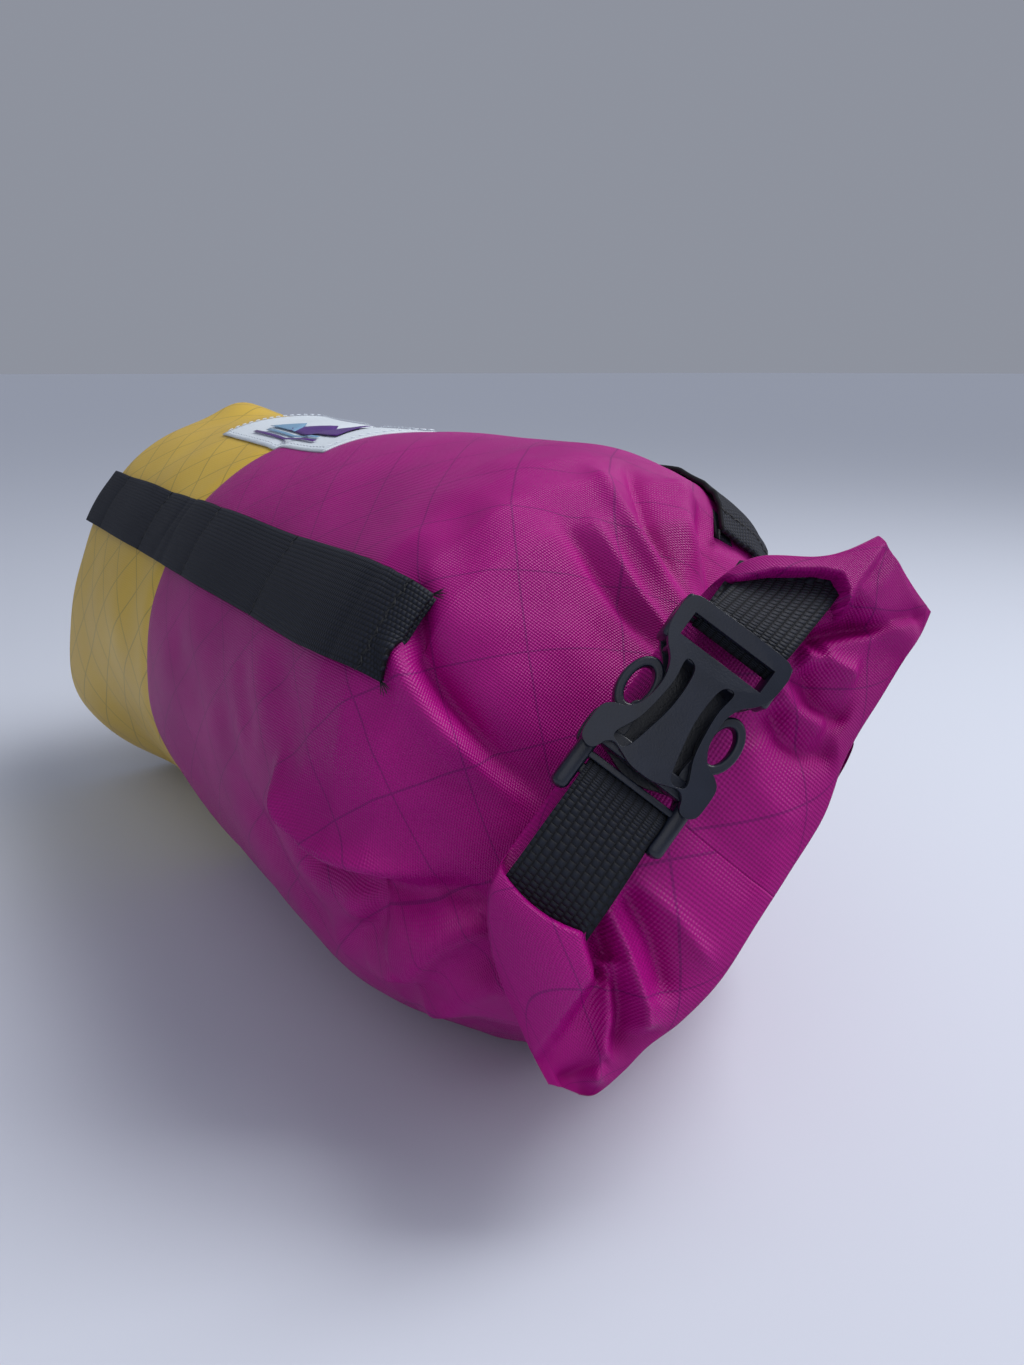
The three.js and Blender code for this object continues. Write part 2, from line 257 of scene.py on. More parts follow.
@dataclass(frozen=True)
class Cloth:
    """A woven or coated cloth, patterned on the piece's own cut, in mm.

    pitch is the distance between yarns, turn the angle of the yarns to the piece, grid the distance between its
    thicker ripstop yarns, and line their width.
    """

    name: str
    colour: str
    dark: str
    line_colour: str
    pitch: float
    turn: float = math.pi / 4
    grid: float = 20.0
    line: float = 0.5
    line_share: float = 0.4
    roughness: float = 0.5
    bump: float = 0.3
    sheen: float = 0.1
    coat: float = 0.0

    def make(self) -> bpy.types.Material:
        """The cloth's material."""
        material = bpy.data.materials.new(self.name)
        material.use_nodes = True
        tree = material.node_tree
        shader = tree.nodes["Principled BSDF"]
        cut = add(tree, "UVMap", uv_map="cut").outputs[0]
        turned = add(tree, "Mapping", {"Vector": cut, "Rotation": (0, 0, self.turn)}).outputs[0]
        parts = add(tree, "SeparateXYZ", {0: turned})
        across = [parts.outputs[i] for i in (0, 1)]
        waves = [maths(tree, "SINE", maths(tree, "MULTIPLY", a, math.tau / self.pitch)) for a in across]
        weave = maths(tree, "MULTIPLY", *waves)
        lines = [
            maths(tree, "LESS_THAN", maths(tree, "PINGPONG", across[i], self.grid / 2), self.line / 2)
            for i in (0, 1)
        ]
        ripstop = maths(tree, "MAXIMUM", *lines)
        cloudy = add(tree, "TexNoise", {"Vector": cut, "Scale": 0.03, "Detail": 4}).outputs["Fac"]
        # The yarn tops come out lighter and the hollows between them darker, following the weave's bump: painted shade
        # in the weave, laid over a random cloudy tone.
        weave_shade_and_tone = maths(tree, "MULTIPLY_ADD", weave, 0.3, cloudy)
        body = add(
            tree, "MixRGB", {"Fac": weave_shade_and_tone, "Color1": linear(self.dark), "Color2": linear(self.colour)}
        ).outputs[0]
        painted = add(
            tree, "MixRGB",
            {"Fac": maths(tree, "MULTIPLY", ripstop, self.line_share), "Color1": body, "Color2": linear(self.line_colour)},
        ).outputs[0]
        height = maths(tree, "MULTIPLY_ADD", ripstop, 0.8, weave)
        bump = add(tree, "Bump", {"Height": height, "Strength": self.bump, "Distance": 0.0002})
        tree.links.new(painted, shader.inputs["Base Color"])
        tree.links.new(bump.outputs[0], shader.inputs["Normal"])
        shader.inputs["Roughness"].default_value = self.roughness
        shader.inputs["Sheen Weight"].default_value = self.sheen
        shader.inputs["Sheen Roughness"].default_value = 0.4
        shader.inputs["Coat Weight"].default_value = self.coat
        shader.inputs["Coat Roughness"].default_value = 0.3
        shader.inputs["Specular IOR Level"].default_value = 0.22
        return material


@dataclass(frozen=True)
class Webbing:
    """Woven nylon tape. rib is the distance between its lengthwise ribs and pick that between its weft picks."""

    name: str
    colour: str
    dark: str
    rib: float
    pick: float
    offset: float = 0.0
    bump: float = 0.8

    def make(self) -> bpy.types.Material:
        """The webbing's material."""
        material = bpy.data.materials.new(self.name)
        material.use_nodes = True
        tree = material.node_tree
        shader = tree.nodes["Principled BSDF"]
        cut = add(tree, "UVMap", uv_map="cut").outputs[0]
        parts = add(tree, "SeparateXYZ", {0: cut})
        row = maths(tree, "FLOOR", maths(tree, "DIVIDE", parts.outputs[1], self.rib))
        shifted = maths(tree, "MULTIPLY_ADD", row, self.offset * self.pick, parts.outputs[0])
        ribs = maths(tree, "ABSOLUTE", maths(tree, "SINE", maths(tree, "MULTIPLY", parts.outputs[1], math.pi / self.rib)))
        picks = maths(tree, "ABSOLUTE", maths(tree, "SINE", maths(tree, "MULTIPLY", shifted, math.pi / self.pick)))
        height = maths(tree, "MULTIPLY", maths(tree, "POWER", ribs, 0.6), maths(tree, "POWER", picks, 0.5))
        # Darker where the weave is low, between ribs and picks, following its bump: painted shade in the tape's
        # hollows.
        tint = add(tree, "MixRGB", {"Fac": height, "Color1": linear(self.dark), "Color2": linear(self.colour)})
        bump = add(tree, "Bump", {"Height": height, "Strength": self.bump, "Distance": 0.0004})
        tree.links.new(tint.outputs[0], shader.inputs["Base Color"])
        tree.links.new(bump.outputs[0], shader.inputs["Normal"])
        shader.inputs["Roughness"].default_value = 0.66
        shader.inputs["Specular IOR Level"].default_value = 0.3
        return material


@dataclass(frozen=True)
class Moulded:
    """A moulded plastic or plain finish with a fine grain."""

    name: str
    colour: str
    worn: str
    roughness: float
    grain: float = 0.35
    bump: float = 0.25

    def make(self) -> bpy.types.Material:
        """The finish's material."""
        material = bpy.data.materials.new(self.name)
        material.use_nodes = True
        tree = material.node_tree
        shader = tree.nodes["Principled BSDF"]
        place = add(tree, "TexCoord").outputs["Object"]
        grain = add(tree, "TexNoise", {"Vector": place, "Scale": 1 / (self.grain * MM), "Detail": 2}).outputs["Fac"]
        smudge = add(tree, "TexNoise", {"Vector": place, "Scale": 1 / (9 * MM), "Detail": 3}).outputs["Fac"]
        tint = add(tree, "MixRGB", {"Fac": smudge, "Color1": linear(self.colour), "Color2": linear(self.worn)})
        bump = add(tree, "Bump", {"Height": grain, "Strength": self.bump, "Distance": 0.0001})
        rough = maths(tree, "MULTIPLY_ADD", smudge, 0.2, self.roughness - 0.1)
        tree.links.new(tint.outputs[0], shader.inputs["Base Color"])
        tree.links.new(rough, shader.inputs["Roughness"])
        tree.links.new(bump.outputs[0], shader.inputs["Normal"])
        shader.inputs["IOR"].default_value = 1.48
        return material


class Finishes:
    """Every finish of the sack, made once."""

    def __init__(self) -> None:
        """Makes the materials."""
        # In each cloth and webbing below, the second colour is the darker end: painted shade in the hollows of the
        # weave, and in the cloths also the low end of a random cloudy tone.
        # Nylon plain weave with a polyurethane back coat: a soft satin with thicker ripstop yarns on the bias.
        self.ripstop = Cloth("coated ripstop nylon, magenta", "#B00482", "#8A036A", "#4A0653", 0.9, grid=21, line=0.45,
            roughness=0.43, bump=0.5, sheen=0.0,
        ).make()
        # A film laminated over a diamond grid of yarns: smoother, glossier, with olive yarn lines showing through.
        self.laminate = Cloth(
            "laminated polyester, yellow", "#D9B640", "#C9A432", "#8E7A34", 1.2, grid=17, line=0.7,
            line_share=0.6, roughness=0.42, bump=0.18, coat=0.15, sheen=0.0,
        ).make()
        # Ribbed nylon tape of the daisy chains: fine lengthwise ribs, matte.
        self.ribbed = Webbing("ribbed nylon webbing, black", "#161B2A", "#05070C", 1.25, 0.9, 0.5).make()
        # Plain woven nylon tape at the buckle: short floats side by side in clear rows.
        self.plain = Webbing("plain woven nylon webbing, black", "#161B28", "#040508", 1.9, 1.15, 0.5, 1.0).make()
        # Spun polyester thread.
        self.thread = Moulded("polyester thread, black", "#08090D", "#10131A", 0.6).make()
        self.white_thread = Moulded("polyester thread, white", "#C9D2DC", "#E2E8EE", 0.6).make()
        # Damask label: tight satin ground.
        self.label = Cloth(
            "woven damask label, white", "#DFE6EC", "#CBD5DE", "#C2CCD6", 0.8, turn=0, grid=200, roughness=0.5, bump=0.25,
        ).make()
        self.label_ink = Cloth(
            "woven damask figure, violet", "#5B2A86", "#3C1C66", "#3C1C66", 0.8, turn=0, grid=200, bump=0.3
        ).make()
        self.label_sky = Cloth(
            "woven damask figure, blue", "#7FA6C4", "#5E87AA", "#5E87AA", 0.8, turn=0, grid=200, bump=0.3
        ).make()
        # Acetal moulded in a spark-finished tool: dark, with a fine grain and lighter rubbed patches at random.
        self.acetal = Moulded("moulded acetal, black", "#0D111B", "#1A2132", 0.33, 0.45, 0.5).make()
        self.tape = Moulded("heat-bonded seam tape, grey", "#8E9196", "#A3A6AA", 0.5).make()
        self.sheet = Moulded("polyethylene sheet, natural", "#D3D0C6", "#E0DDD4", 0.45).make()


# --- Mesh helpers --------------------------------------------------------------------------------------------------


def flat(length: float, width: float) -> Callable[[float, float], Point2]:
    """The flat place, in mm, of two shares of an oblong cloth."""
    return lambda a, b: (a * length, b * width)


def cloth_grid(
    cells: tuple[int, int], place: Callable[[float, float], Vector], cut: Callable[[float, float], Point2]
) -> bmesh.types.BMesh:
    """A grid of cloth, placed by a function of its two shares, with its flat place kept as a UV map in mm.

    Args:
        cells: How many cells the grid has along and across.
        place: The position of the point at two shares from 0 to 1.
        cut: The flat place of the point at two shares.

    Returns:
        The mesh, with its position in the function's frame.
    """
    bm = bmesh.new()
    bmesh.ops.create_grid(bm, x_segments=cells[0], y_segments=cells[1], size=1)
    layer = bm.loops.layers.uv.new("cut")
    for face in bm.faces:
        for loop in face.loops:
            loop[layer].uv = cut((loop.vert.co.x + 1) / 2, (loop.vert.co.y + 1) / 2)
    for vert in bm.verts:
        vert.co = place((vert.co.x + 1) / 2, (vert.co.y + 1) / 2)
    return bm


def shade(bm: bmesh.types.BMesh, smoothly: bool = True) -> None:
    """Sets every face to smooth or flat shading."""
    for face in bm.faces:
        face.smooth = smoothly


def object_from(bm: bmesh.types.BMesh, name: str, to_row: Matrix, material: bpy.types.Material) -> bpy.types.Object:
    """Makes a finished mesh an object at the origin, with its place in its mesh.

    Args:
        bm: The mesh, which is freed.
        name: The piece's name.
        to_row: The matrix from the mesh's frame to the row's.
        material: The piece's finish.

    Returns:
        The linked object.
    """
    bmesh.ops.transform(bm, matrix=to_row, verts=bm.verts)
    mesh = bpy.data.meshes.new(name)
    bm.to_mesh(mesh)
    bm.free()
    made = bpy.data.objects.new(name, mesh)
    bpy.context.scene.collection.objects.link(made)
    mesh.materials.append(material)
    return made


def thicken(made: bpy.types.Object, thickness: float, offset: float = -1.0) -> None:
    """Gives a sheet its thickness, in mm, and applies it."""
    modifier = made.modifiers.new("thickness", "SOLIDIFY")
    modifier.thickness = thickness * MM
    modifier.offset = offset
    modifier.use_even_offset = False
    bake(made)


def bake(made: bpy.types.Object) -> None:
    """Applies every modifier of an object to its mesh."""
    graph = bpy.context.evaluated_depsgraph_get()
    mesh = bpy.data.meshes.new_from_object(made.evaluated_get(graph))
    made.modifiers.clear()
    old = made.data
    made.data = mesh
    bpy.data.meshes.remove(old)


def record(made: bpy.types.Object, body: str | None, slot: str, *nodes: str) -> bpy.types.Object:
    """Tells the frame what a piece rides on and the nodes it stands for, and reports it; its slot is not used."""
    if body:
        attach(made, body)
    if nodes:
        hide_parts(*nodes)
    log.info("%s: %d faces", made.name, len(made.data.polygons))
    return made


def stitches(spots: Iterable[tuple[Vector, Vector, float]], thickness: float) -> bmesh.types.BMesh:
    """Short thread stitches, each a flattened ball stretched between its holes.

    Args:
        spots: For each stitch its middle, its direction, and its length in mm.
        thickness: The thread's thickness, in mm.

    Returns:
        One mesh of all the stitches.
    """
    bm = bmesh.new()
    for middle, direction, length in spots:
        made = bmesh.ops.create_uvsphere(bm, u_segments=6, v_segments=5, radius=0.5)
        turn = direction.normalized().to_track_quat("Z", "Y").to_matrix().to_4x4()
        size = Matrix.Diagonal((thickness, thickness, length, 1))
        bmesh.ops.transform(bm, matrix=Matrix.Translation(middle) @ turn @ size, verts=made["verts"])
    shade(bm)
    return bm


def closed_curve(points: Sequence[Point2], per: int = 4) -> list[Point2]:
    """A closed outline rounded through its points.

    Args:
        points: The outline's points, in order.
        per: How many points each stretch gets.

    Returns:
        The rounded outline.
    """
    ring = [points[-1], *points, points[0], points[1]]
    return [
        rounded_path(ring, (1 + i + j / per) / (len(ring) - 1))
        for i in range(len(points))
        for j in range(per)
    ]


def mirrored(half: Sequence[Point2]) -> list[Point2]:
    """An outline from the half of it on the left, given from front to back."""
    return [*half, *((x, -y) for x, y in reversed(half) if abs(y) > 0.01)]


def plate(
    outline: Sequence[Point2], holes: Sequence[Sequence[Point2]], low: float, high: float, rounding: float
) -> bmesh.types.BMesh:
    """A moulded plate with holes, standing between two heights, with rounded rims.

    Args:
        outline: The plate's outline, in mm.
        holes: The outlines of its holes.
        low: The height of its underside.
        high: The height of its top.
        rounding: How far its rims are rounded.

    Returns:
        The plate's mesh.
    """
    bm = bmesh.new()
    for ring in (outline, *holes):
        verts = [bm.verts.new((x, y, low)) for x, y in ring]
        for a, b in zip(verts, verts[1:] + verts[:1]):
            bm.edges.new((a, b))
    bmesh.ops.triangle_fill(bm, use_beauty=True, use_dissolve=False, edges=bm.edges)
    made = bmesh.ops.extrude_face_region(bm, geom=bm.faces[:])
    lifted = [item for item in made["geom"] if isinstance(item, bmesh.types.BMVert)]
    bmesh.ops.translate(bm, vec=(0, 0, high - low), verts=lifted)
    bmesh.ops.recalc_face_normals(bm, faces=bm.faces)
    rims = [
        edge for edge in bm.edges
        if len(edge.link_faces) == 2 and sorted(abs(f.normal.z) > 0.9 for f in edge.link_faces) == [False, True]
    ]
    bmesh.ops.bevel(
        bm, geom=rims, offset=rounding, offset_type="OFFSET", segments=3, profile=0.5, affect="EDGES", material=-1,
        clamp_overlap=True,
    )
    for face in bm.faces:
        face.smooth = abs(face.normal.z) < 0.999
    return bm


def joined(*meshes: bmesh.types.BMesh) -> bmesh.types.BMesh:
    """One mesh of several, which are freed."""
    bm = bmesh.new()
    for part in meshes:
        mesh = bpy.data.meshes.new("part")
        part.to_mesh(mesh)
        part.free()
        bm.from_mesh(mesh)
        bpy.data.meshes.remove(mesh)
    return bm


def box(low: tuple[float, float, float], high: tuple[float, float, float], rounding: float) -> bmesh.types.BMesh:
    """A block between two corners with every edge rounded."""
    bm = bmesh.new()
    bmesh.ops.create_cube(bm, size=1)
    size = Vector(high) - Vector(low)
    middle = (Vector(high) + Vector(low)) / 2
    bmesh.ops.transform(bm, matrix=Matrix.Translation(middle) @ Matrix.Diagonal((*size, 1)), verts=bm.verts)
    bmesh.ops.bevel(
        bm, geom=bm.edges[:], offset=rounding, offset_type="OFFSET", segments=3, profile=0.5, affect="EDGES",
        material=-1, clamp_overlap=True,
    )
    shade(bm)
    return bm


# --- The filled body -----------------------------------------------------------------------------------------------


@dataclass
class FilledBody:
    """The sack's fabric tube, bulged by what it holds, and the pieces sewn on it."""

    frame: SackFrame
    finishes: Finishes
    seam_x: float = 122.0
    mouth_x: float = 341.0
    side_seam: float = -75.0
    tape: float = 20.0
    # Distance from the base, near crest, far crest, half width towards the left end, and towards the right end.
    shoulder: tuple[tuple[float, ...], ...] = (
        (258, 85, -85, 85, 85), (272, 84.6, -82, 83, 81), (284, 82.5, -75, 79, 73.5), (294, 76, -66, 74, 62),
        (303, 57, -54, 68, 50), (309, 41, -45, 64, 44), (320, 23, -32, 59, 40), (330, 9, -17, 55, 35),
        (337, 0, -7, 52, 33), (341, -1, -5, 50, 33),
    )
    # Each fold's line is drawn as distance from the base and angle round the sack, in degrees.
    folds: tuple[tuple[tuple[Point2, ...], float, float, FoldKind], ...] = (
        (((283, 85), (286, 91), (291, 97), (295, 101), (299, 104), (304, 107), (312, 111)), -6.0, 2.6,
         FoldKind.SHARP),
        (((285, 93), (290, 101), (296, 107), (302, 111), (309, 115)), 4.2, 3.2, FoldKind.ROUND),
        (((257, 122), (263, 129), (270, 134), (281, 138), (295, 139), (309, 133)), 6.4, 3.8, FoldKind.SHARP),
        (((264, 135), (274, 142), (290, 145), (304, 141)), -6.0, 5, FoldKind.ROUND),
        (((238, 108), (250, 114), (262, 120), (272, 127)), -1.4, 7, FoldKind.ROUND),
        (((312, 129), (307, 140), (303, 148), (296, 161), (276, 168)), 7.5, 3.8, FoldKind.SHARP),
        (((313, 137), (307, 136), (299, 144), (289, 155), (272, 160)), -6.0, 4.2, FoldKind.ROUND),
        (((313, 147), (308, 158), (298, 172), (282, 186)), 4.4, 5, FoldKind.SHARP),
        (((312, 141), (305, 154), (297, 167), (282, 176)), -2.6, 5, FoldKind.ROUND),
        (((272, 46), (288, 45), (298, 43), (308, 38)), 3.4, 4, FoldKind.SHARP),
        (((270, 35), (284, 37), (296, 37), (308, 34)), -4.0, 3.5, FoldKind.SHARP),
        (((276, 25), (290, 27), (304, 29)), 3.6, 6, FoldKind.ROUND),
        (((290, 52), (301, 51), (311, 50)), 2.4, 3.5, FoldKind.SHARP),
        (((288, 58), (301, 57), (312, 56)), -2.2, 4.0, FoldKind.ROUND),
        (((258, 71), (274, 76), (288, 78), (302, 74)), -1.6, 11, FoldKind.ROUND),
        (((218, 113), (230, 120), (246, 130)), -1.3, 6, FoldKind.ROUND),
        (((206, 124), (222, 131), (240, 141)), -1.0, 7, FoldKind.ROUND),
        (((228, 134), (246, 143), (264, 153), (282, 160)), -2.6, 7, FoldKind.ROUND),
        (((150, 118), (175, 124), (205, 133)), -1.4, 9, FoldKind.ROUND),
    )


    def section(self, x: float) -> list[float]:
        """The near crest, far crest and half widths of the body at x."""
        return along(self.shoulder, x)

    def plain(self, x: float, angle: float) -> Vector:
        """A point of the body before its folds."""
        near, far, left, right = self.section(x)
        toward = math.cos(math.radians(angle))
        lengthwise = toward * mix(left, right, smooth(-0.6, 0.6, toward))
        over = (near + far) / 2 + (near - far) / 2 * math.sin(math.radians(angle))
        return Vector((x, (lengthwise - over) * HALF_ROOT, (lengthwise + over) * HALF_ROOT))

    def outward(self, x: float, angle: float) -> Vector:
        """The body's outward direction before its folds."""
        round_step = self.plain(x, angle + 0.5) - self.plain(x, angle - 0.5)
        x_step = self.plain(min(x + 1.5, self.mouth_x), angle) - self.plain(x - 1.5, angle)
        return round_step.cross(x_step).normalized()

    def rise(self, x: float, angle: float) -> float:
        """How far folds, filling and slack move the cloth out, in mm."""
        spot = (x, angle * self.frame.radius * math.pi / 180)
        total = sum(fold.rise(spot) for fold in self.fold_lines)
        # What the sack holds pushes the cloth out in soft lumps.
        place = self.plain(x, angle)
        total += 2.2 * noise.noise(place / 62) + 0.9 * noise.noise(place / 27)
        # Slack gathers in folds that run from the round body into the flattened mouth.
        turn = math.radians(angle)
        gather = abs(math.sin(4.5 * turn + 1.1 + 0.5 * math.sin(3 * turn)))
        near_side = smooth(28, 52, angle) * smooth(60, 100, 265 - angle)
        total += smooth(262, 308, x) * smooth(342, 318, x) * (3.4 - 2.9 * near_side) * (gather - 0.5) * 1.6
        # The base rim bulges past the round at the lower near side, and has a small peak on top.
        rim = 1 - smooth(0, 70, x)
        total += 12.5 * rim * math.exp(-(((angle - 163) / 24) ** 2))
        total += 5.5 * (1 - smooth(0, 40, x)) * math.exp(-(((angle - 47) / 9) ** 2))
        total += 0.8 * smooth(245, 285, x) * noise.noise(place / 11)
        # Seams draw the cloth in a little.
        total -= 1.1 * math.exp(-(((x - self.seam_x) / 5) ** 2))
        return total

    def skin(self, x: float, angle: float, lift: float = 0.0) -> Vector:
        """A point of the folded body, lifted off it by some mm."""
        made = self.plain(x, angle) + self.outward(x, angle) * (self.rise(x, angle) + lift)
        made.z = max(made.z, abs(lift) - self.frame.axis_height)
        return made

    def build(self) -> None:
        """Makes the panels, the base and the tapes."""
        circumference = math.tau * self.frame.radius
        self.fold_lines = [
            Fold(tuple((x, a * circumference / 360) for x, a in path), height, width, kind)
            for path, height, width, kind in self.folds
        ]
        self.build_panel("lower_panel", 2.0, self.seam_x + 1.2, 40, self.finishes.laminate, "yellow_laminate", 0.0)
        self.build_panel("upper_panel", self.seam_x, self.mouth_x, 180, self.finishes.ripstop, "magenta_ripstop", 0.35)
        self.build_base()
        low, high, seam, wide = 3.0, self.seam_x, self.side_seam, self.tape
        self.build_tape("base_seam_tape", (low, low + wide / 2), (0, 360), 264)
        self.build_tape("panel_seam_tape", (high - wide / 2, high + wide / 2), (0, 360), 264)
        reach = math.degrees(wide / 2 / self.frame.radius)
        self.build_tape("side_seam_tape_lower", (low + wide / 2, high - wide / 2), (seam - reach, seam + reach), 10)
        self.build_tape("side_seam_tape_upper", (high + wide / 2, 298), (seam - reach, seam + reach), 10)

    def build_tape(self, name: str, span: Point2, angles: Point2, sides: int) -> None:
        """Makes one heat-bonded tape on the inside of a seam.

        Args:
            name: The node it replaces.
            span: Where it starts and ends lengthwise, in mm.
            angles: Where it starts and ends round the sack, in degrees.
            sides: How many cells it has round the sack.
        """
        size = (span[1] - span[0], math.radians(angles[1] - angles[0]) * self.frame.radius)

        def place(a: float, b: float) -> Vector:
            return self.skin(mix(*span, a), mix(*angles, b), -0.5)

        bm = cloth_grid((max(4, round(size[0] / 4)), sides), place, flat(*size))
        bmesh.ops.remove_doubles(bm, verts=bm.verts, dist=0.01)
        bmesh.ops.recalc_face_normals(bm, faces=bm.faces)
        shade(bm)
        made = object_from(bm, name + "_film", self.frame.to_row, self.finishes.tape)
        thicken(made, 0.25, 0.0)
        record(made, "sack", "seam_tape", name)

    def build_panel(
        self, name: str, start: float, end: float, rings: int, material: bpy.types.Material, slot: str, lift: float
    ) -> None:
        """Makes one fabric panel as a tube.

        Args:
            name: The piece, and the node it replaces.
            start: The x of its end near the base.
            end: The x of its other end.
            rings: How many cells it has lengthwise.
            material: Its finish.
            slot: Its material slot; not used.
            lift: How far it stands off the body, in mm.
        """
        sides = 420

        def lengthwise(a: float) -> float:
            return mix(start, end, a ** 0.8)

        def place(a: float, b: float) -> Vector:
            return self.skin(lengthwise(a), b * 360, lift)

        bm = cloth_grid((rings, sides), place, self.flat_places(lengthwise, rings, sides))
        bmesh.ops.remove_doubles(bm, verts=bm.verts, dist=0.01)
        bmesh.ops.recalc_face_normals(bm, faces=bm.faces)
        shade(bm)
        made = object_from(bm, name + "_cloth", self.frame.to_row, material)
        record(made, "sack", slot, name)

    def flat_places(
        self, lengthwise: Callable[[float], float], rings: int, sides: int
    ) -> Callable[[float, float], Point2]:
        """Unrolls the body, so that its pattern keeps its size where the body narrows.

        Args:
            lengthwise: The x of a share of the panel's length.
            rings: How many cells the panel has lengthwise.
            sides: How many it has round it.

        Returns:
            The flat place of two shares of the panel.
        """
        spots = [
            [self.plain(lengthwise(i / rings), j / sides * 360) for j in range(sides + 1)] for i in range(rings + 1)
        ]
        start = round(sides * 100 / 360)
        length = [[0.0] * (sides + 1) for _ in spots]
        round_it = [[0.0] * (sides + 1) for _ in spots]
        for i, row in enumerate(spots):
            for j in range(sides + 1):
                length[i][j] = length[i - 1][j] + (row[j] - spots[i - 1][j]).length if i else 0.0
            for j in range(start + 1, sides + 1):
                round_it[i][j] = round_it[i][j - 1] + (row[j] - row[j - 1]).length
            for j in range(start - 1, -1, -1):
                round_it[i][j] = round_it[i][j + 1] - (row[j] - row[j + 1]).length
        return lambda a, b: (length[round(a * rings)][round(b * sides)], round_it[round(a * rings)][round(b * sides)])

    def build_base(self) -> None:
        """Makes the base: a round of laminate, a little domed, with its sewn rim."""
        bm = bmesh.new()
        rounds, sides = 18, 132

        def place(a: float, b: float) -> Vector:
            rim = self.skin(1.6, b * 360)
            reach = min(a * 1.02, 1.0)
            dome = -1.4 * (1 - smooth(0.7, 1.0, a)) + 0.8 * noise.noise(rim * reach / 40)
            return Vector((1.6 + (1.4 if a > 0.999 else dome), rim.y * reach, rim.z * reach))

        bm = cloth_grid((rounds, sides), place, flat(self.frame.radius, math.tau * self.frame.radius))
        layer = bm.loops.layers.uv["cut"]
        for face in bm.faces:
            for loop in face.loops:
                loop[layer].uv = (loop.vert.co.y, loop.vert.co.z)
        bmesh.ops.remove_doubles(bm, verts=bm.verts, dist=0.02)
        bmesh.ops.recalc_face_normals(bm, faces=bm.faces)
        if max(bm.faces, key=lambda f: f.calc_area()).normal.x > 0:
            bmesh.ops.reverse_faces(bm, faces=bm.faces)
        shade(bm)
        made = object_from(bm, "base_panel_cloth", self.frame.to_row, self.finishes.laminate)
        thicken(made, 0.6)
        record(made, "sack", "yellow_laminate", "base_panel")


